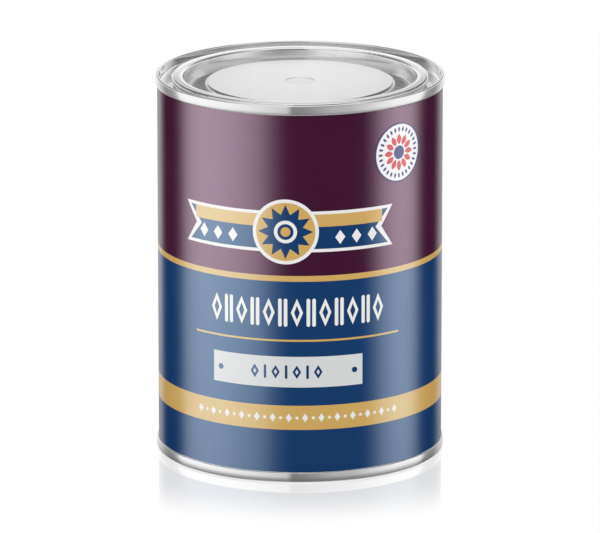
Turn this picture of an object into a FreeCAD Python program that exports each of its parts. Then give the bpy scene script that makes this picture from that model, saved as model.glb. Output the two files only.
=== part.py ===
"""A round lever-lid paint tin of nearly one litre, built from its separate sheet-metal pieces.

A welded tinplate body is closed below by a seamed-on bottom end and above by a seamed-on neck ring.
A plug lid sits in the ring's neck. Both double seams hook the sheets round each other over a bead of
sealing compound. A lacquer stripe covers the weld inside, and a printed label wraps the body outside,
with a round badge and a shade plate stuck on it.

The origin is the middle of the tin's foot, +Z is up, and the front of the label faces -Y.
All lengths are in millimetres and all angles in degrees.
"""

import FreeCAD, Part
import math
import os

# ---- the tin as a whole ----
tin_height = 134.0
body_inner_radius = 49.5
body_sheet = 0.20  # tinplate of the welded body
end_sheet = 0.22  # tinplate of the bottom end
ring_sheet = 0.22  # tinplate of the neck ring
lid_sheet = 0.25  # tinplate of the lid

# ---- double seams, the same at both ends of the body ----
seam_height = 3.35
seam_gap = 0.03  # left between neighbouring layers of the seam
seam_crown_bend = 0.36  # bend of the sheet over the seam's crown, to mid-sheet
seam_wall_swell = 0.16  # how far the seam wall's mid-line leans out from its ends to its middle
seam_wall_bend = 9.0
body_hook_length = 2.0
cover_hook_length = 1.9
compound_gap = 0.05  # left round the bead of sealing compound

# ---- neck ring ----
groove_depth = 4.0  # seam crown down to the groove's floor
groove_width = 6.18  # chuck wall to the neck's bead
groove_outer_bend = 1.5
groove_inner_bend = 0.9
neck_depth = 8.0  # seam crown down to the neck's lower edge
neck_curl_bend = 0.6
bead_drop = 0.80  # seam crown down to the top of the neck's bead
bead_width = 1.82  # across the bead, outside to outside

# ---- lid ----
seat_clearance = 0.06  # between the lid's flange and the neck's bead, less the rounding of its crown
plug_clearance = 0.10  # between the lid's plug and the neck
plug_taper = 0.80  # how much narrower the plug is at its foot
flange_overhang = 1.85  # how far the flange reaches past the neck's bead
flange_curl_bend = 0.70
flange_inner_bend = 0.75
flange_crown = 0.16  # how far the flange stands above its shoulders where it meets the bead
flange_crown_bend = 4.0
channel_depth = 6.10  # lid's flange down to the channel's floor
channel_width = 6.85  # along its floor, plug to raised middle
channel_outer_bend = 0.80
channel_inner_bend = 0.80
plateau_rise = 3.70  # channel's floor up to the raised middle
plateau_bend = 0.95
dimple_radius = 5.20
dimple_depth = 0.12
dimple_bend = 0.16

# ---- bottom end ----
countersink_depth = 4.40  # foot up to the top of the countersink
countersink_width = 2.20
countersink_bend = 0.60
panel_drop = 1.00  # countersink down to the outer panel
outer_panel_width = 7.50
inner_panel_drop = 0.60  # outer panel down to the inner one
rib_inset = 14.0  # edge of the inner panel to the middle of its rib
rib_width = 4.0
rib_height = 0.60
panel_bend = 0.80

# ---- weld and its lacquer stripe, at the back of the tin ----
weld_angle = 90.0
weld_width = 0.80
weld_height = 0.07
stripe_width = 12.0
stripe_thickness = 0.15
stripe_gap = 0.02

# ---- label and what is stuck on it ----
label_thickness = 0.10
label_gap = 0.03  # between the label and the body
label_edge_gap = 0.20  # between the label's edges and the seams
lap_angle = 120.0
lap_width = 8.0
sticker_thickness = 0.08
sticker_gap = 0.02
badge_angle = -47.0
badge_drop = 19.55  # seam crown down to the badge's middle
badge_radius = 10.4
plate_angle = -95.5
plate_height = 39.6  # its middle, above the foot
plate_width = 54.2
plate_tall = 10.95

# ---- radii through the double seam, mid-sheet, from the inside out ----
body_outer_radius = body_inner_radius + body_sheet
body_mid_radius = body_inner_radius + body_sheet / 2

# ---- places worked out from the sizes above ----
label_inner_radius = body_outer_radius + label_gap
label_outer_radius = label_inner_radius + label_thickness
neck_inner_radius = body_inner_radius - seam_gap - ring_sheet - groove_width - bead_width
bead_radius = neck_inner_radius + bead_width / 2
flange_radius = neck_inner_radius + bead_width + flange_overhang
flange_top_depth = bead_drop - seat_clearance - lid_sheet
bare_wall_low = countersink_depth + stripe_gap  # the body's inside, clear of both ends' sheets
bare_wall_high = tin_height - groove_depth - ring_sheet - stripe_gap


def seam_radii(sheet):
    """Mid-sheet radii of an end's seam layers: chuck wall, cover hook, body hook and seam wall."""
    chuck_wall = body_inner_radius - seam_gap - sheet / 2
    cover_hook = body_outer_radius + seam_gap + sheet / 2
    body_hook = cover_hook + sheet / 2 + seam_gap + body_sheet / 2
    seam_wall = body_hook + body_sheet / 2 + seam_gap + sheet / 2
    return chuck_wall, cover_hook, body_hook, seam_wall


def line(start, end):
    return Part.LineSegment(start, end).toShape()


def arc(start, middle, end):
    return Part.Arc(start, middle, end).toShape()


def side_edges(path, shift):
    """The edges of one side of a bent sheet, shift to the left of its mid-line (negative: right)."""
    points = [FreeCAD.Vector(r, 0, z) for r, z, _ in path]
    bends = [bend for _, _, bend in path]
    ways = [(b - a).normalize() for a, b in zip(points, points[1:])]
    lefts = [FreeCAD.Vector(-w.z, 0, w.x) for w in ways]
    edges = []
    here = points[0] + lefts[0] * shift
    for i in range(1, len(points) - 1):
        before, after = ways[i - 1], ways[i]
        turn = math.atan2(before.x * after.z - before.z * after.x, before.dot(after))
        run = bends[i] * math.tan(abs(turn) / 2)
        side = math.copysign(1.0, turn)
        centre = points[i] - before * run + lefts[i - 1] * (side * bends[i])
        radius = bends[i] - side * shift
        start = centre - lefts[i - 1] * (side * radius)
        end = centre - lefts[i] * (side * radius)
        middle = centre + (points[i] - centre).normalize() * radius
        if here.distanceToPoint(start) > 1e-6:
            edges.append(line(here, start))
        edges.append(arc(start, middle, end))
        here = end
    last = points[-1] + lefts[-1] * shift
    edges.append(line(here, last))
    return edges


def bent_sheet(path, thickness):
    """A sheet of constant thickness turned round Z. path holds (radius, height, bend) at each corner of
    its mid-line, where bend is the mid-line's radius there."""
    left = side_edges(path, thickness / 2)
    right = side_edges(path, -thickness / 2)
    caps = [
        line(right[0].firstVertex().Point, left[0].firstVertex().Point),
        line(left[-1].lastVertex().Point, right[-1].lastVertex().Point),
    ]
    outline = Part.Wire(Part.__sortEdges__(left + caps + right))
    return revolved(outline)


def revolved(outline):
    solid = Part.Face(outline).revolve(FreeCAD.Vector(0, 0, 0), FreeCAD.Vector(0, 0, 1), 360)
    return solid.removeSplitter()


def tube_sector(inner, outer, low, high, middle_angle, width):
    """A piece of a tube about Z, width long along its outer face and centred at middle_angle."""
    half = math.degrees(width / outer) / 2
    start = FreeCAD.Placement(
        FreeCAD.Vector(0, 0, low), FreeCAD.Rotation(FreeCAD.Vector(0, 0, 1), middle_angle - half)
    )
    whole = Part.makeCylinder(outer, high - low, FreeCAD.Vector(), FreeCAD.Vector(0, 0, 1), 2 * half)
    core = Part.makeCylinder(inner, high - low)
    sector = whole.cut(core)
    sector.Placement = start
    return sector


def seam_hook(sheet, height_at):
    """The end's share of a double seam, from the tip of its hook to the chuck wall. height_at turns a
    depth below the seam's crown into a height."""
    chuck_wall, cover_hook, _, seam_wall = seam_radii(sheet)
    foot = seam_height - sheet / 2
    foot_bend = (seam_wall - cover_hook) / 2
    return [
        (cover_hook, height_at(seam_height - cover_hook_length), 0),
        (cover_hook, height_at(foot), foot_bend),
        (seam_wall, height_at(foot), foot_bend),
        (seam_wall + seam_wall_swell, height_at(seam_height / 2), seam_wall_bend),
        (seam_wall, height_at(sheet / 2), seam_crown_bend),
        (chuck_wall, height_at(sheet / 2), seam_crown_bend),
    ]


def body_hook(sheet, height_at):
    """The body's share of the same seam, from the tip of its hook to the body wall."""
    hook = seam_radii(sheet)[2]
    crown = sheet + seam_gap + body_sheet / 2
    bend = (hook - body_mid_radius) / 2
    return [
        (hook, height_at(crown + body_hook_length), 0),
        (hook, height_at(crown), bend),
        (body_mid_radius, height_at(crown), bend),
    ]


def from_top(depth):
    return tin_height - depth


def from_foot(depth):
    return depth


def body_shell():
    """The welded body, hooked outwards at both ends, with the weld's bead along its inside."""
    path = body_hook(ring_sheet, from_top) + body_hook(end_sheet, from_foot)[::-1]
    shell = bent_sheet(path, body_sheet)
    weld = tube_sector(
        body_inner_radius - weld_height,
        body_inner_radius + body_sheet / 2,
        bare_wall_low,
        bare_wall_high,
        weld_angle,
        weld_width,
    )
    return shell.fuse(weld)


def bottom_end():
    """The bottom: seam hook, countersink, and a panel stepped down in two stages with one round rib."""
    chuck_wall = seam_radii(end_sheet)[0]
    top = countersink_depth - end_sheet / 2
    panel = top - panel_drop
    inner_panel = panel - inner_panel_drop
    inner_edge = chuck_wall - countersink_width
    inner_panel_radius = inner_edge - panel_drop - outer_panel_width - inner_panel_drop
    rib_radius = inner_panel_radius - rib_inset
    path = seam_hook(end_sheet, from_foot) + [
        (chuck_wall, top, countersink_bend),
        (inner_edge, top, countersink_bend),
        (inner_edge - panel_drop, panel, panel_bend),
        (inner_panel_radius + inner_panel_drop, panel, panel_bend),
        (inner_panel_radius, inner_panel, panel_bend),
        (rib_radius + rib_width / 2 + rib_height, inner_panel, panel_bend),
        (rib_radius + rib_width / 2, inner_panel + rib_height, panel_bend),
        (rib_radius - rib_width / 2, inner_panel + rib_height, panel_bend),
        (rib_radius - rib_width / 2 - rib_height, inner_panel, panel_bend),
        (0, inner_panel, 0),
    ]
    return bent_sheet(path, end_sheet)


def neck_ring():
    """The top ring: seam hook, pry groove, rounded bead and the neck, whose lower edge is curled out."""
    chuck_wall = seam_radii(ring_sheet)[0]
    neck = neck_inner_radius + ring_sheet / 2
    bead_bend = (bead_width - ring_sheet) / 2
    bead_outer = neck + 2 * bead_bend
    floor = from_top(groove_depth + ring_sheet / 2)
    bead_top = from_top(bead_drop + ring_sheet / 2)
    foot = from_top(neck_depth - ring_sheet / 2)
    curl = 2 * neck_curl_bend
    path = seam_hook(ring_sheet, from_top) + [
        (chuck_wall, floor, groove_outer_bend),
        (bead_outer, floor, groove_inner_bend),
        (bead_outer, bead_top, bead_bend),
        (neck, bead_top, bead_bend),
        (neck, foot, neck_curl_bend),
        (neck + curl, foot, neck_curl_bend),
        (neck + curl, foot + curl, neck_curl_bend),
        (neck + neck_curl_bend - ring_sheet / 2, foot + curl, 0),
    ]
    return bent_sheet(path, ring_sheet)


def lever_lid():
    """The plug lid: a curled flange on the neck's bead, the plug, a channel and a raised middle."""
    crown = from_top(flange_top_depth + lid_sheet / 2)
    flange = crown - flange_crown
    floor = crown - channel_depth
    plateau = floor + plateau_rise
    dimple = plateau - dimple_depth
    rim = flange_radius - lid_sheet / 2
    curl = 2 * flange_curl_bend
    plug_top = neck_inner_radius - plug_clearance - lid_sheet / 2
    plug_foot = plug_top - plug_taper
    plateau_wall = plug_foot - lid_sheet - channel_width
    path = [
        (rim - flange_curl_bend - lid_sheet / 2, flange - curl, 0),
        (rim, flange - curl, flange_curl_bend),
        (rim, flange, flange_curl_bend),
        (bead_radius, crown, flange_crown_bend),
        (plug_top, flange, flange_inner_bend),
        (plug_foot, floor, channel_outer_bend),
        (plateau_wall, floor, channel_inner_bend),
        (plateau_wall, plateau, plateau_bend),
        (dimple_radius + dimple_depth, plateau, dimple_bend),
        (dimple_radius, dimple, dimple_bend),
        (0, dimple, 0),
    ]
    return bent_sheet(path, lid_sheet)


def seam_compound(sheet, height_at):
    """The bead of sealing compound between the tip of the cover hook and the body's flange."""
    inner = body_outer_radius + compound_gap
    outer = seam_radii(sheet)[2] - body_sheet / 2 - compound_gap
    flange_bend = (seam_radii(sheet)[2] - body_mid_radius) / 2
    top = sheet + seam_gap + body_sheet / 2 + flange_bend
    foot = seam_height - cover_hook_length - compound_gap
    low, high = sorted((height_at(top), height_at(foot)))
    ring = Part.makeCylinder(outer, high - low, FreeCAD.Vector(0, 0, low))
    return ring.cut(Part.makeCylinder(inner, high - low, FreeCAD.Vector(0, 0, low)))


def side_stripe():
    """The lacquer stripe over the weld inside the body, with a groove where the weld's bead runs."""
    outer = body_inner_radius - stripe_gap
    inner = outer - stripe_thickness
    stripe = tube_sector(inner, outer, bare_wall_low, bare_wall_high, weld_angle, stripe_width)
    groove = tube_sector(
        body_inner_radius - weld_height - stripe_gap,
        outer + stripe_gap,
        bare_wall_low,
        bare_wall_high,
        weld_angle,
        weld_width + 2 * stripe_gap,
    )
    return stripe.cut(groove)


def label_wrap():
    """The printed label, wrapped once round the body, with its end lapped over its start at the back."""
    low = seam_height + label_edge_gap
    high = tin_height - seam_height - label_edge_gap
    wrap = Part.makeCylinder(label_outer_radius, high - low, FreeCAD.Vector(0, 0, low))
    wrap = wrap.cut(Part.makeCylinder(label_inner_radius, high - low, FreeCAD.Vector(0, 0, low)))
    lap = tube_sector(
        label_inner_radius + label_thickness / 2,
        label_outer_radius + label_thickness,
        low,
        high,
        lap_angle,
        lap_width,
    )
    return wrap.fuse(lap)


def on_label(outline_face, angle, height):
    """A sticker of the label's curve, cut from a flat outline that lies in XZ about the origin."""
    inner = label_outer_radius + sticker_gap
    outer = inner + sticker_thickness
    reach = 2 * outer
    punch = outline_face.extrude(FreeCAD.Vector(0, -reach, 0))
    skin = Part.makeCylinder(outer, tin_height)
    skin = skin.cut(Part.makeCylinder(inner, tin_height))
    punch.Placement = FreeCAD.Placement(
        FreeCAD.Vector(0, 0, height), FreeCAD.Rotation(FreeCAD.Vector(0, 0, 1), angle + 90)
    )
    return skin.common(punch)


def flat_half_width(arc_length):
    """Half the straight width that gives this length along the label's curve."""
    return label_outer_radius * math.sin(arc_length / 2 / label_outer_radius)


def badge_sticker():
    circle = Part.makeCircle(badge_radius, FreeCAD.Vector(), FreeCAD.Vector(0, -1, 0))
    return on_label(Part.Face(Part.Wire(circle)), badge_angle, from_top(badge_drop))


def shade_plate():
    half, top = flat_half_width(plate_width), plate_tall / 2
    corners = [(-half, -top), (half, -top), (half, top), (-half, top), (-half, -top)]
    outline = Part.makePolygon([FreeCAD.Vector(x, 0, z) for x, z in corners])
    return on_label(Part.Face(outline), plate_angle, plate_height)


def save(name, shape):
    if not shape.isValid() or shape.Volume <= 0:
        raise ValueError(name + " is not a valid solid")
    solids = shape.Solids
    whole = solids[0] if len(solids) == 1 else Part.Compound(solids)
    whole.exportStep(os.path.join("parts", name + ".step"))
    print(f"{name}: {len(solids)} solid, {whole.Volume:.1f} mm3, {len(whole.Faces)} faces")


os.makedirs("parts", exist_ok=True)
save("body_shell", body_shell())
save("bottom_end", bottom_end())
save("neck_ring", neck_ring())
save("lever_lid", lever_lid())
save("top_seam_compound", seam_compound(ring_sheet, from_top))
save("bottom_seam_compound", seam_compound(end_sheet, from_foot))
save("side_stripe", side_stripe())
save("label_wrap", label_wrap())
save("badge_sticker", badge_sticker())
save("shade_plate", shade_plate())
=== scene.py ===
"""The looks of a lever-lid paint tin: bright tinplate, a glossy printed label, and a white studio.

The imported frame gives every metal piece, the label and its stickers. This script gives them their
materials, and adds the printing as thin films wrapped round the tin. All lengths are in metres.
"""

import math

import bmesh
import bpy
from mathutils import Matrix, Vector
from mathutils.geometry import tessellate_polygon

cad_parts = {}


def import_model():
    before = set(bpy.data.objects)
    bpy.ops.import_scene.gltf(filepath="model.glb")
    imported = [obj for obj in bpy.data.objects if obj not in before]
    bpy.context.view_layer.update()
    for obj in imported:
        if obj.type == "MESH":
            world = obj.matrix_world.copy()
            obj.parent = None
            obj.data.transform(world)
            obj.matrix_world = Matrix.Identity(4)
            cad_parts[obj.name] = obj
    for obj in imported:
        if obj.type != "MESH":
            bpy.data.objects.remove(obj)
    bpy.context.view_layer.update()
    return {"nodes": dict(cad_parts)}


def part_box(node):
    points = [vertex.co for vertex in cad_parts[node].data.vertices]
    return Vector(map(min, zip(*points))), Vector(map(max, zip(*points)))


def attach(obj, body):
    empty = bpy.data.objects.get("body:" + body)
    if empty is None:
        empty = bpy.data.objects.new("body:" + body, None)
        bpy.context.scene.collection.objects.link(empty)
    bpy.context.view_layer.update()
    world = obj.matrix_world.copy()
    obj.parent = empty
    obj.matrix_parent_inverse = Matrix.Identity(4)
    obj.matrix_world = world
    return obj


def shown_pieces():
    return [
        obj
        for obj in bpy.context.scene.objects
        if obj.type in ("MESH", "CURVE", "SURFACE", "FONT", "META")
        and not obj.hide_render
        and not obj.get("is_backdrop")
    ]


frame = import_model()

METAL_NODES = ("body_shell", "bottom_end", "neck_ring", "lever_lid")

# ---- places, from the frame ----
LABEL_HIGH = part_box("label_wrap")[1].z
LABEL_RADIUS = -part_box("label_wrap")[0].y  # at the front, because its lap stands proud at the back
STICKER_RADIUS = -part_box("shade_plate")[0].y
PLATE_MIDDLE = sum((corner.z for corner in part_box("shade_plate"))) / 2
PLATE_ANGLE = math.radians(-5.5)  # round the tin, from its front towards the right
BADGE_MIDDLE = sum((corner.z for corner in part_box("badge_sticker"))) / 2
BADGE_ANGLE = math.radians(43.0)
LID_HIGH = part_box("lever_lid")[1].z
LID_PLATEAU_RADIUS = 0.0325
DIMPLE_RADIUS = 0.0053
SEAM_FROM, SEAM_FULL = 0.0480, 0.0490  # radii between which the seams' higher polish sets in

# ---- the label's printing, as heights above the foot ----
BAND_LOW, BAND_HIGH = 0.0185, 0.0271  # the broad gold band
TRIM_LOW, TRIM_HIGH = 0.0714, 0.0735  # the gold line between navy and purple

# ---- colours, as linear light ----
PURPLE = (0.0542, 0.0063, 0.0323)
NAVY = (0.0047, 0.0438, 0.1521)
GOLD = (0.6565, 0.4064, 0.1125)
NAVY_SHEEN, GOLD_SHEEN, PURPLE_SHEEN = (0.69, 0.87, 0.97), (0.62, 0.93, 1.0), (1.0, 0.78, 0.94)
PAPER_SHEEN = (0.54, 0.54, 0.54)
BADGE_SHEEN = (0.45, 0.45, 0.50)
WHITE = (1.0, 1.0, 1.0, 1.0)
PAPER = (0.8336, 0.8336, 0.8232)
PLATE_PAPER = (0.6773, 0.6877, 0.6929)
BADGE_RED = (0.6044, 0.0521, 0.0677)
BADGE_NAVY = (0.0365, 0.0417, 0.1719)

FILM = 0.000012  # thickness of one printed film
FILM_GAP = 0.000003  # between the lowest film and what it is printed on
FILM_STEP = 0.0012  # longest stretch of a film that stays flat round the tin

PLATEAU_ROUGHNESS, TIN_ROUGHNESS = 0.30, 0.15  # on the lid's raised middle, and everywhere else
SEAM_POLISH = 0.065  # how much less rough the seams are


# ---------------------------------------------------------------- node trees


def node(tree, kind, inputs=(), **settings):
    """Adds a node. inputs maps a socket's name or number to a value or to the socket that feeds it."""
    made = tree.nodes.new(kind)
    for name, value in settings.items():
        setattr(made, name, value)
    for name, value in dict(inputs).items():
        if isinstance(value, bpy.types.NodeSocket):
            tree.links.new(value, made.inputs[name])
        else:
            made.inputs[name].default_value = value
    return made


def maths(tree, operation, *values, clamp=False):
    made = node(tree, "ShaderNodeMath", dict(enumerate(values)), operation=operation, use_clamp=clamp)
    return made.outputs[0]


def ramp(tree, factor, stops, interpolation="LINEAR"):
    """A colour ramp. stops is a list of (place from 0 to 1, colour or grey level)."""
    made = node(tree, "ShaderNodeValToRGB", {"Fac": factor})
    made.color_ramp.interpolation = interpolation
    elements = made.color_ramp.elements
    while len(elements) < len(stops):
        elements.new(1.0)
    for element, (place, colour) in zip(elements, stops):
        element.position = place
        element.color = (*colour, 1.0) if isinstance(colour, tuple) else (colour,) * 3 + (1.0,)
    return made.outputs["Color"]


def remap(tree, value, low, high, to_low=0.0, to_high=1.0, smooth=False):
    made = node(
        tree,
        "ShaderNodeMapRange",
        {"Value": value, "From Min": low, "From Max": high, "To Min": to_low, "To Max": to_high},
        interpolation_type="SMOOTHSTEP" if smooth else "LINEAR",
    )
    return made.outputs["Result"]


def mix_colour(tree, factor, first, second, blend="MIX"):
    made = node(tree, "ShaderNodeMix", data_type="RGBA", blend_type=blend)
    sockets = {"Factor": 0, "A": 6, "B": 7}
    for name, value in (("Factor", factor), ("A", first), ("B", second)):
        socket = made.inputs[sockets[name]]
        if isinstance(value, bpy.types.NodeSocket):
            tree.links.new(value, socket)
        else:
            socket.default_value = value if isinstance(value, float) else (*value, 1.0)
    return made.outputs[2]


def mix_shader(tree, factor, first, second):
    return node(tree, "ShaderNodeMixShader", {0: factor, 1: first.outputs[0], 2: second.outputs[0]})


def place(tree):
    """The shaded point in the tin's own frame: its X, Y and Z."""
    coordinates = node(tree, "ShaderNodeTexCoord")
    parts = node(tree, "ShaderNodeSeparateXYZ", {0: coordinates.outputs["Object"]})
    return coordinates.outputs["Object"], parts.outputs


def from_axis(tree, xyz):
    """How far the shaded point is from the tin's axis."""
    squares = [maths(tree, "POWER", xyz[i], 2.0) for i in (0, 1)]
    return maths(tree, "SQRT", maths(tree, "ADD", *squares))


def noise(tree, vector, scale, detail=3.0, stretch=(1.0, 1.0, 1.0)):
    mapping = node(tree, "ShaderNodeMapping", {"Vector": vector, "Scale": stretch})
    made = node(
        tree, "ShaderNodeTexNoise", {"Vector": mapping.outputs[0], "Scale": scale, "Detail": detail}
    )
    return made.outputs["Fac"]


def spread(tree, cloud, low, high):
    """Spreads the range that a noise mostly stays in over low to high."""
    return remap(tree, cloud, 0.3, 0.7, low, high)


def grey(tree, level):
    return node(tree, "ShaderNodeCombineColor", {0: level, 1: level, 2: level}).outputs[0]


def seen_rays(tree):
    """1 for the rays that look at the studio, straight or by way of metal and gloss, and 0 for light."""
    rays = node(tree, "ShaderNodeLightPath")
    seen = maths(tree, "ADD", rays.outputs["Is Camera Ray"], rays.outputs["Is Glossy Ray"])
    return maths(tree, "ADD", seen, rays.outputs["Is Transmission Ray"], clamp=True)


def empty_material(name):
    material = bpy.data.materials.new(name)
    material.use_nodes = True
    material.node_tree.nodes.clear()
    return material, material.node_tree


def surface(name, inputs):
    """A material with one Principled shader. Returns the material, its tree and the shader."""
    material, tree = empty_material(name)
    shader = node(tree, "ShaderNodeBsdfPrincipled", inputs)
    node(tree, "ShaderNodeOutputMaterial", {"Surface": shader.outputs[0]})
    return material, tree, shader


def feed(tree, shader, name, value):
    tree.links.new(value, shader.inputs[name])


def bump(tree, shader, height, distance):
    made = node(tree, "ShaderNodeBump", {"Height": height, "Distance": distance, "Strength": 1.0})
    feed(tree, shader, "Normal", made.outputs[0])


# ---------------------------------------------------------------- materials


def label_bands(tree, height, navy, gold, purple):
    """One value or colour for each of the label's bands, by height."""
    edges = (0.0, BAND_LOW, BAND_HIGH, TRIM_LOW, TRIM_HIGH)
    colours = (navy, gold, navy, gold, purple)
    stops = [(edge / LABEL_HIGH, colour) for edge, colour in zip(edges, colours)]
    return ramp(tree, maths(tree, "DIVIDE", height, LABEL_HIGH), stops, "CONSTANT")


def gloss_print(name, colour=None, sheen=(1.0, 1.0, 1.0)):
    """Ink under gloss varnish: one colour, or the label's bands where colour is None."""
    material, tree, shader = surface(
        name, {"IOR": 1.5, "Specular IOR Level": 1.0, "Specular Tint": (*sheen, 1.0)}
    )
    vector, xyz = place(tree)
    if colour is None:
        colour = label_bands(tree, xyz[2], NAVY, GOLD, PURPLE)
        tint = label_bands(tree, xyz[2], NAVY_SHEEN, GOLD_SHEEN, PURPLE_SHEEN)
        feed(tree, shader, "Specular Tint", tint)
    mottle = spread(tree, noise(tree, vector, 900.0), 0.985, 1.015)
    feed(tree, shader, "Base Color", mix_colour(tree, 1.0, colour, grey(tree, mottle), "MULTIPLY"))
    feed(tree, shader, "Roughness", spread(tree, noise(tree, vector, 60.0), 0.17, 0.21))
    bump(tree, shader, noise(tree, vector, 700.0, 2.0), 0.0000012)
    return material


def tinplate(name):
    """Bright rolled tinplate: mirror-like on its rims, a little satin on the lid's raised middle."""
    material, tree, shader = surface(name, {"Metallic": 0.82, "IOR": 1.5})
    vector, xyz = place(tree)
    radius = from_axis(tree, xyz)
    streaks = noise(tree, vector, 220.0, 4.0, (1.0, 0.06, 1.0))
    plateau_edge = (LID_PLATEAU_RADIUS - 0.0006, LID_PLATEAU_RADIUS + 0.0002)
    lid = remap(tree, radius, *plateau_edge, PLATEAU_ROUGHNESS, TIN_ROUGHNESS)
    satin = maths(tree, "SUBTRACT", lid, remap(tree, radius, SEAM_FROM, SEAM_FULL, 0.0, SEAM_POLISH))
    grain = spread(tree, streaks, -0.015, 0.015)
    # painted shade: the base colour is made darker inside the dimple at the lid's middle, standing in for
    # the shading that falls in that hollow
    painted_dimple_shade = remap(tree, radius, DIMPLE_RADIUS - 0.0005, DIMPLE_RADIUS + 0.0003, 0.84, 0.90)
    feed(tree, shader, "Base Color", grey(tree, painted_dimple_shade))
    feed(tree, shader, "Roughness", maths(tree, "ADD", satin, grain))
    bump(tree, shader, streaks, 0.0000008)
    return material


def lacquer(name):
    material, tree, shader = surface(name, {"IOR": 1.5, "Coat Weight": 0.3, "Coat Roughness": 0.15})
    vector, _ = place(tree)
    cloud = noise(tree, vector, 140.0)
    feed(tree, shader, "Base Color", mix_colour(tree, cloud, (0.50, 0.42, 0.25), (0.66, 0.58, 0.38)))
    feed(tree, shader, "Roughness", spread(tree, cloud, 0.22, 0.34))
    bump(tree, shader, cloud, 0.000004)
    return material


def sealing_compound(name):
    material, tree, shader = surface(name, {"IOR": 1.45})
    vector, _ = place(tree)
    cloud = noise(tree, vector, 500.0)
    feed(tree, shader, "Base Color", mix_colour(tree, cloud, (0.07, 0.08, 0.07), (0.12, 0.13, 0.12)))
    feed(tree, shader, "Roughness", spread(tree, cloud, 0.6, 0.8))
    bump(tree, shader, cloud, 0.00002)
    return material


# ---------------------------------------------------------------- flat figures for the printing


def ellipse(x, y, rx, ry, steps=64):
    turn = 2 * math.pi / steps
    return [(x + rx * math.cos(i * turn), y + ry * math.sin(i * turn)) for i in range(steps)]


def disc(x, y, radius):
    return ellipse(x, y, radius, radius)


def lozenge(x, y, width, tall):
    return [(x - width / 2, y), (x, y - tall / 2), (x + width / 2, y), (x, y + tall / 2)]


def rounded_box(x, y, width, tall, corner, steps=8):
    points = []
    for quarter, (sx, sy) in enumerate(((1, 1), (-1, 1), (-1, -1), (1, -1))):
        cx, cy = x + sx * (width / 2 - corner), y + sy * (tall / 2 - corner)
        for i in range(steps + 1):
            turn = math.pi / 2 * (quarter + i / steps)
            points.append((cx + corner * math.cos(turn), cy + corner * math.sin(turn)))
    return points


def petal(turn, inner, outer, width, steps=12):
    """One petal that points away from the middle, at an angle turn."""
    cos, sin = math.cos(turn), math.sin(turn)
    points = []
    for side in (1, -1):
        for i in range(steps):
            share = i / steps if side == 1 else 1 - i / steps
            along = inner + (outer - inner) * share
            across = side * width / 2 * math.sin(math.pi * share) ** 0.8
            points.append((along * cos - across * sin, along * sin + across * cos))
    return points


def star(x, y, outer, inner, tips):
    points = []
    for i in range(2 * tips):
        radius, turn = (inner if i % 2 else outer), math.pi * i / tips + math.pi / 2
        points.append((x + radius * math.cos(turn), y + radius * math.sin(turn)))
    return points


def pennant(left, right, low, high, notch):
    """A ribbon with a swallow tail at its left end, or at its right end where notch is negative."""
    middle = (low + high) / 2
    if notch > 0:
        return [(left, low), (right, low), (right, high), (left, high), (left + notch, middle)]
    return [(left, low), (right, low), (right + notch, middle), (right, high), (left, high)]


# ---------------------------------------------------------------- printing


def add_object(name, data):
    made = bpy.data.objects.new(name, data)
    bpy.context.scene.collection.objects.link(made)
    return made


def flat_film(figures):
    """The figures as one flat film, cut into strips that are narrow enough to be wrapped."""
    made = bmesh.new()
    for figure in figures:
        loops = [[Vector((x, y, 0)) for x, y in loop] for loop in figure]
        corners = [made.verts.new(point) for loop in loops for point in loop]
        for triangle in tessellate_polygon(loops):
            made.faces.new([corners[i] for i in triangle])
    reach = max(abs(v.co.x) for v in made.verts)
    for i in range(-int(reach / FILM_STEP), int(reach / FILM_STEP) + 1):
        everything = made.verts[:] + made.edges[:] + made.faces[:]
        bmesh.ops.bisect_plane(made, geom=everything, plane_co=(i * FILM_STEP, 0, 0), plane_no=(1, 0, 0))
    bmesh.ops.dissolve_degenerate(made, dist=1e-7, edges=made.edges[:])
    top = bmesh.ops.extrude_face_region(made, geom=made.faces[:])["geom"]
    for vertex in (v for v in top if isinstance(v, bmesh.types.BMVert)):
        vertex.co.z = FILM
    return made


def printed(name, figures, angle, height, radius, layer, material):
    """Wraps flat figures round the tin as one film. Each figure is an outline and any holes in it, in
    metres about the place at angle and height; layer counts the films below it."""
    made = flat_film(figures)
    foot = radius + FILM_GAP + layer * FILM
    for vertex in made.verts:
        turn, away = angle + vertex.co.x / radius, foot + vertex.co.z
        vertex.co = (away * math.sin(turn), -away * math.cos(turn), height + vertex.co.y)
    bmesh.ops.recalc_face_normals(made, faces=made.faces[:])
    mesh = bpy.data.meshes.new(name)
    made.to_mesh(mesh)
    made.free()
    mesh.shade_smooth()
    mesh.set_sharp_from_angle(angle=math.radians(30))
    film = add_object(name, mesh)
    mesh.materials.append(material)
    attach(film, "tin")


def on_label(name, figures, height, layer, material):
    printed(name, figures, 0.0, height, LABEL_RADIUS, layer, material)


def title_frieze(ink):
    """A row of tall lozenge rings and pairs of bars across the front."""
    left, right, tall, bar = -0.0330, 0.0309, 0.0100, 0.00125
    count = 13
    pitch = (right - left) / count
    figures = []
    for i in range(count):
        x = left + pitch * (i + 0.5)
        if i % 2:
            for side in (-1, 1):
                figures.append([rounded_box(x + side * pitch * 0.2, 0, bar, tall, bar / 2)])
        else:
            figures.append([lozenge(x, 0, pitch * 0.86, tall), lozenge(x, 0, pitch * 0.40, tall * 0.52)])
    on_label("title_frieze", figures, 0.0608, 0, ink)


def gold_rule(ink):
    middle, width, thick, corner = -0.0012, 0.0774, 0.0007, 0.0003
    on_label("gold_rule", [[rounded_box(middle, 0, width, thick, corner)]], 0.0508, 0, ink)


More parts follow.
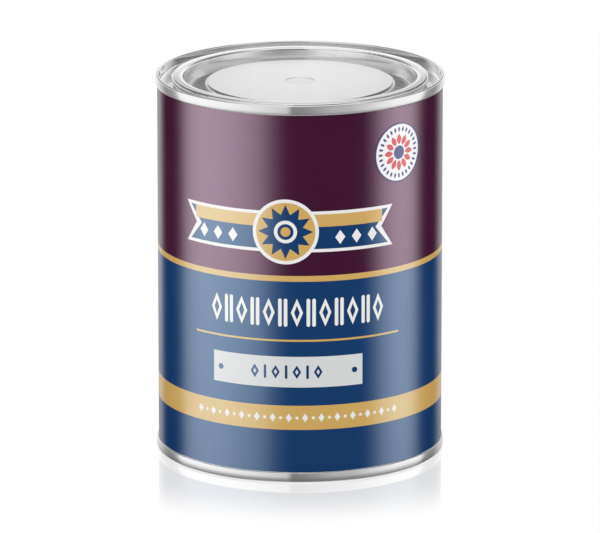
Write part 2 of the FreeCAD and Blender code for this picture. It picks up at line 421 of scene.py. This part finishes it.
def band_frieze(ink):
    """Small lozenges and dots along the gold band."""
    left, right, tall = -0.0392, 0.0371, 0.0031
    count = 27
    pitch = (right - left) / count
    figures = []
    for i in range(count):
        x = left + pitch * (i + 0.5)
        figures.append([disc(x, 0, 0.00055)] if i % 2 else [lozenge(x, 0, 0.0021, tall)])
    on_label("band_frieze", figures, 0.02315, 0, ink)


def emblem(white, gold, navy):
    """A medallion on a ribbon with swallow tails, all edged in white."""
    height, edge = 0.0895, 0.0011
    left, right, middle = -0.0444, 0.0345, -0.0050
    low, high, notch = -0.0072, 0.0072, 0.0048
    inner_notch = notch + edge * 0.4
    stripe_low, stripe_inset = low + (high - low) * 0.62, 0.0045
    outlines = [[pennant(left, middle, low, high, notch)], [pennant(middle, right, low, high, -notch)]]
    on_label("ribbon_edge", outlines, height, 0, white)
    ribbons = [
        [pennant(left + edge * 1.8, middle, low + edge, high - edge, inner_notch)],
        [pennant(middle, right - edge * 1.8, low + edge, high - edge, -inner_notch)],
    ]
    on_label("ribbon", ribbons, height, 1, navy)
    from_x, to_x, stripe_high = left + stripe_inset, right - stripe_inset, high - edge
    stripe = [(from_x, stripe_low), (to_x, stripe_low), (to_x, stripe_high), (from_x, stripe_high)]
    on_label("ribbon_stripe", [[stripe]], height, 2, gold)
    studs = [[lozenge(x * 0.001, -0.0022, 0.0036, 0.0050)] for x in (-36, -30, -24, 14, 20, 26)]
    on_label("ribbon_studs", studs, height, 2, white)
    on_label("medallion_edge", [[disc(middle, 0, 0.0115)]], height, 3, white)
    on_label("medallion", [[disc(middle, 0, 0.0103)]], height, 4, gold)
    on_label("medallion_star", [[star(middle, 0, 0.0096, 0.0062, 12)]], height, 5, navy)
    on_label("medallion_hub", [[disc(middle, 0, 0.0040), disc(middle, 0, 0.0028)]], height, 6, white)
    on_label("medallion_drop", [[disc(middle, 0, 0.0017)]], height, 6, gold)


def plate_marks(ink):
    """A stud at each end of the shade plate and a row of small marks between them."""
    marks = [[disc(x, 0, 0.0010)] for x in (-0.0241, 0.0241)]
    pitch, tall, bar = 0.0037, 0.0049, 0.0009
    for i in range(7):
        x = (i - 3) * pitch
        if i % 2:
            marks.append([rounded_box(x, 0, bar, tall, bar / 2)])
        else:
            marks.append([lozenge(x, 0, 0.0030, tall), lozenge(x, 0, 0.0012, 0.0020)])
    printed("plate_marks", marks, PLATE_ANGLE, PLATE_MIDDLE, STICKER_RADIUS, 0, ink)


def on_badge(name, figures, layer, material):
    printed(name, figures, BADGE_ANGLE, BADGE_MIDDLE, STICKER_RADIUS, layer, material)


def badge_marks(paper, red, navy):
    """White over all but the badge's rim, then a circle of small dashes round a rosette with a hub."""
    on_badge("badge_face", [[disc(0, 0, 0.00995)]], 0, paper)
    n_dashes, n_petals = 28, 12
    dashes = [[petal(2 * math.pi * i / n_dashes, 0.0072, 0.0091, 0.0009)] for i in range(n_dashes)]
    on_badge("badge_dashes", dashes + [[disc(0, 0, 0.0024)]], 1, navy)
    petals = [[petal(2 * math.pi * i / n_petals, 0.0028, 0.0065, 0.0020)] for i in range(n_petals)]
    on_badge("badge_rosette", petals, 1, red)


# ---------------------------------------------------------------- dressing the tin


def dress(node_name, material):
    for slot in frame["nodes"][node_name].material_slots:
        slot.material = material


def dress_tin():
    metal = tinplate("bright_tinplate")
    for name in METAL_NODES:
        dress(name, metal)
    compound = sealing_compound("seam_compound")
    dress("top_seam_compound", compound)
    dress("bottom_seam_compound", compound)
    dress("side_stripe", lacquer("stripe_lacquer"))
    dress("label_wrap", gloss_print("label_print"))
    badge_navy = gloss_print("badge_navy_ink", BADGE_NAVY, BADGE_SHEEN)
    dress("badge_sticker", badge_navy)
    dress("shade_plate", gloss_print("plate_paper", PLATE_PAPER, PAPER_SHEEN))
    white = gloss_print("white_ink", PAPER, PAPER_SHEEN)
    gold = gloss_print("gold_ink", GOLD, GOLD_SHEEN)
    navy = gloss_print("navy_ink", NAVY, NAVY_SHEEN)
    title_frieze(white)
    gold_rule(gold)
    band_frieze(white)
    emblem(white, gold, navy)
    plate_marks(navy)
    badge_paper = gloss_print("badge_paper", PAPER, BADGE_SHEEN)
    badge_marks(badge_paper, gloss_print("badge_red_ink", BADGE_RED, BADGE_SHEEN), badge_navy)


# ---------------------------------------------------------------- studio

FLOOR_DROP = 0.0002  # how far the floor lies below the foot
FLOOR_HALF = 4.0
FLOOR_COLOUR = (0.94, 0.94, 0.94, 1.0)
FLOOR_WHITE = 0.94  # share of the plain white that the floor shows to those who look at it
SCREEN_RADIUS = 1.3
SCREEN_LOW, SCREEN_HIGH = -3.0, 0.90
SCREEN_FADE = ((-0.62, 0.2), (-0.22, 1.0))
LID_SCREEN_RADIUS = 0.15
LID_SCREEN_LOW, LID_SCREEN_SPLIT, LID_SCREEN_HIGH = LID_HIGH + 0.001, 0.165, 0.40
LID_LOW_FADE = ((0.135, 1.15), (0.165, 1.02))
LID_HIGH_FADE = ((0.165, 1.02), (0.24, 0.4))
MIRROR_FULL, MIRROR_NONE = 0.062, 0.101  # distances from the axis where the polish fades
MIRROR_SHARE = 1.35  # of a plain Fresnel reflection
MIRROR_MAKE_UP = 0.15  # added to the floor's white to make up for what the polish takes from it

SOFT_LIGHT = 1.05  # strength of the even light on the object, while the studio looks plain white
CAMERA_PLACE = (0.0, -2.2992, 0.6733)
CAMERA_TILT = 14.84  # degrees that it looks down
CAMERA_LENS = 406.5

# Brightness round the tin by bearing from the front, in degrees to the right. In turn: what the floor
# shows, what the metal shows, what it shows of the lower and the upper screen above the lid, and what
# the gloss on the print shows.
EVEN_LEVELS = [(-180, 1.0), (180, 1.0)]
METAL_LEVELS = [
    (-180, 0.99), (-164, 0.92), (-156, 0.83), (-148, 0.69), (-140, 0.42), (-132, 0.18), (-121, 0.17),
    (-115, 0.34), (-109, 0.95), (-100, 1.03), (-80, 1.04), (-60, 0.97), (-40, 0.84), (-24, 0.69),
    (-10, 0.55), (-6, 0.08), (4, 0.12), (12, 0.21), (24, 0.36), (40, 0.41), (60, 0.7), (80, 0.96),
    (106, 1.01), (111, 0.9), (117, 0.3), (122, 0.17), (133, 0.17), (140, 0.41), (148, 0.66), (156, 0.8),
    (168, 0.92), (180, 0.99),
]
LID_LOW_LEVELS = [
    (-180, 1.0), (-150, 1.0), (-140, 1.05), (-104, 1.05), (-94, 1.0), (-60, 1.0), (-24, 0.9), (-6, 0.35),
    (20, 0.2), (45, 0.35), (70, 0.9), (94, 1.0), (104, 1.05), (140, 1.05), (150, 1.0), (180, 1.0),
]
LID_HIGH_LEVELS = [
    (-180, 1.0), (-168, 0.9), (-156, 0.3), (-146, 0.06), (-108, 0.06), (-94, 0.8), (-60, 1.0), (-12, 1.0),
    (-8, 0.95), (-6, 0.05), (30, 0.1), (44, 0.8), (60, 1.0), (94, 0.8), (108, 0.06), (146, 0.06),
    (156, 0.3), (168, 0.9), (180, 1.0),
]
PRINT_LEVELS = [
    (-180, 0.6), (-168, 0.62), (-158, 0.78), (-150, 0.73), (-145, 0.29), (-138, 0.0), (-120, 0.0),
    (-114, 0.16), (-108, 0.91), (-100, 2.42), (-90, 3.44), (-80, 3.95), (-62, 3.91), (-40, 2.96),
    (-30, 2.05), (-20, 0.65), (-12, 0.1), (-7, 0.0), (52, 0.0), (60, 0.66), (70, 2.42), (82, 3.34),
    (92, 3.26), (100, 2.59), (108, 1.09), (114, 0.19), (119, 0.0), (138, 0.0), (146, 0.34), (153, 0.67),
    (166, 0.61), (180, 0.6),
]


def mesh_object(name, verts, faces):
    mesh = bpy.data.meshes.new(name)
    mesh.from_pydata(verts, [], faces)
    made = add_object(name, mesh)
    made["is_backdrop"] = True
    return made


def floor_material():
    """White, with a polish that mirrors the tin's foot and fades away from it. It is clear from below."""
    material, tree = empty_material("white_floor")
    _, xyz = place(tree)
    near = remap(tree, from_axis(tree, xyz), MIRROR_FULL, MIRROR_NONE, MIRROR_SHARE, 0.0, smooth=True)
    polish = node(tree, "ShaderNodeFresnel", {"IOR": 1.5})
    mirror = maths(tree, "MULTIPLY", near, polish.outputs[0])
    strength = maths(tree, "MULTIPLY_ADD", mirror, MIRROR_MAKE_UP, 1.0)
    lit = maths(tree, "MULTIPLY", seen_rays(tree), FLOOR_WHITE)
    matt = node(tree, "ShaderNodeBsdfDiffuse", {"Color": FLOOR_COLOUR})
    white = node(tree, "ShaderNodeEmission", {"Color": WHITE, "Strength": strength})
    pale = mix_shader(tree, lit, matt, white)
    gloss = node(tree, "ShaderNodeBsdfGlossy", {"Color": WHITE, "Roughness": 0.03})
    both = mix_shader(tree, mirror, pale, gloss)
    side = node(tree, "ShaderNodeNewGeometry")
    one_sided = mix_shader(tree, side.outputs["Backfacing"], both, node(tree, "ShaderNodeBsdfTransparent"))
    node(tree, "ShaderNodeOutputMaterial", {"Surface": one_sided.outputs[0]})
    return material


def floor():
    h = FLOOR_HALF
    corners = [(x, y, -FLOOR_DROP) for x, y in ((-h, -h), (h, -h), (h, h), (-h, h))]
    made = mesh_object("floor", corners, [(0, 1, 2, 3)])
    made.data.materials.append(floor_material())
    made.visible_glossy = False
    made.visible_transmission = False
    return made


def bearing(tree):
    """The shaded point's bearing round the tin, from 0 to 1 for -180 to 180 degrees."""
    _, xyz = place(tree)
    turn = maths(tree, "ARCTAN2", xyz[0], maths(tree, "MULTIPLY", xyz[1], -1.0))
    return remap(tree, turn, -math.pi, math.pi)


def screen_material(name, levels, fade, see_through):
    material, tree = empty_material(name)
    material.cycles.emission_sampling = "NONE"
    peak = max(level for _, level in levels)
    shades = ramp(tree, bearing(tree), [((a + 180) / 360, level / peak) for a, level in levels])
    _, xyz = place(tree)
    (fade_from, first_share), (fade_to, last_share) = fade
    share = remap(tree, xyz[2], fade_from, fade_to, first_share, last_share, smooth=True)
    strength = maths(tree, "MULTIPLY", share, peak)
    shader = node(tree, "ShaderNodeEmission", {"Color": shades, "Strength": strength})
    if see_through:
        clear = node(tree, "ShaderNodeBsdfTransparent")
        shader = node(tree, "ShaderNodeAddShader", {0: shader.outputs[0], 1: clear.outputs[0]})
    node(tree, "ShaderNodeOutputMaterial", {"Surface": shader.outputs[0]})
    return material


def screen(name, radius, span, levels, fade, lit, see_through=False):
    """A cylinder of light round the tin, seen only in the reflections of the pieces in lit. span is its
    lowest and highest height, and fade holds pairs of a height and the share of the levels there."""
    steps = 180
    turns = [2 * math.pi * i / steps for i in range(steps)]
    verts = [(radius * math.cos(t), radius * math.sin(t), z) for z in span for t in turns]
    faces = [(i, (i + 1) % steps, steps + (i + 1) % steps, steps + i) for i in range(steps)]
    made = mesh_object(name, verts, faces)
    made.data.materials.append(screen_material(name, levels, fade, see_through))
    made.visible_camera = False
    made.visible_diffuse = False
    made.visible_transmission = False
    made.visible_shadow = False
    made.light_linking.receiver_collection = lit


def screens():
    """What the metal, its lid, the print and the floor's polish show, each with its own levels."""
    metal = bpy.data.collections.new("metal_pieces")
    floor_only = bpy.data.collections.new("floor_only")
    floor_only.objects.link(floor())
    print_and_film = bpy.data.collections.new("printed_pieces")
    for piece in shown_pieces():
        (metal if piece.name in METAL_NODES else print_and_film).objects.link(piece)
    far = (SCREEN_LOW, SCREEN_HIGH)
    screen("metal_screen", SCREEN_RADIUS, far, METAL_LEVELS, SCREEN_FADE, metal)
    screen("print_screen", SCREEN_RADIUS - 0.05, far, PRINT_LEVELS, SCREEN_FADE, print_and_film, True)
    screen("floor_screen", SCREEN_RADIUS - 0.10, far, EVEN_LEVELS, SCREEN_FADE, floor_only, True)
    low, high = (LID_SCREEN_LOW, LID_SCREEN_SPLIT), (LID_SCREEN_SPLIT, LID_SCREEN_HIGH)
    screen("lid_screen_low", LID_SCREEN_RADIUS, low, LID_LOW_LEVELS, LID_LOW_FADE, metal)
    screen("lid_screen_high", LID_SCREEN_RADIUS, high, LID_HIGH_LEVELS, LID_HIGH_FADE, metal)


def world():
    made = bpy.data.worlds.new("studio")
    bpy.context.scene.world = made
    made.use_nodes = True
    tree = made.node_tree
    tree.nodes.clear()
    soft = node(tree, "ShaderNodeBackground", {"Color": WHITE, "Strength": SOFT_LIGHT})
    white = node(tree, "ShaderNodeBackground", {"Color": WHITE, "Strength": 1.0})
    both = mix_shader(tree, seen_rays(tree), soft, white)
    node(tree, "ShaderNodeOutputWorld", {"Surface": both.outputs[0]})


def camera():
    data = bpy.data.cameras.new("camera")
    data.lens = CAMERA_LENS
    data.clip_end = 20.0
    made = add_object("camera", data)
    made.location = CAMERA_PLACE
    made.rotation_euler = (math.radians(90 - CAMERA_TILT), 0.0, 0.0)
    bpy.context.scene.camera = made


dress_tin()
screens()
world()
camera()
bpy.context.scene.view_settings.view_transform = "Standard"
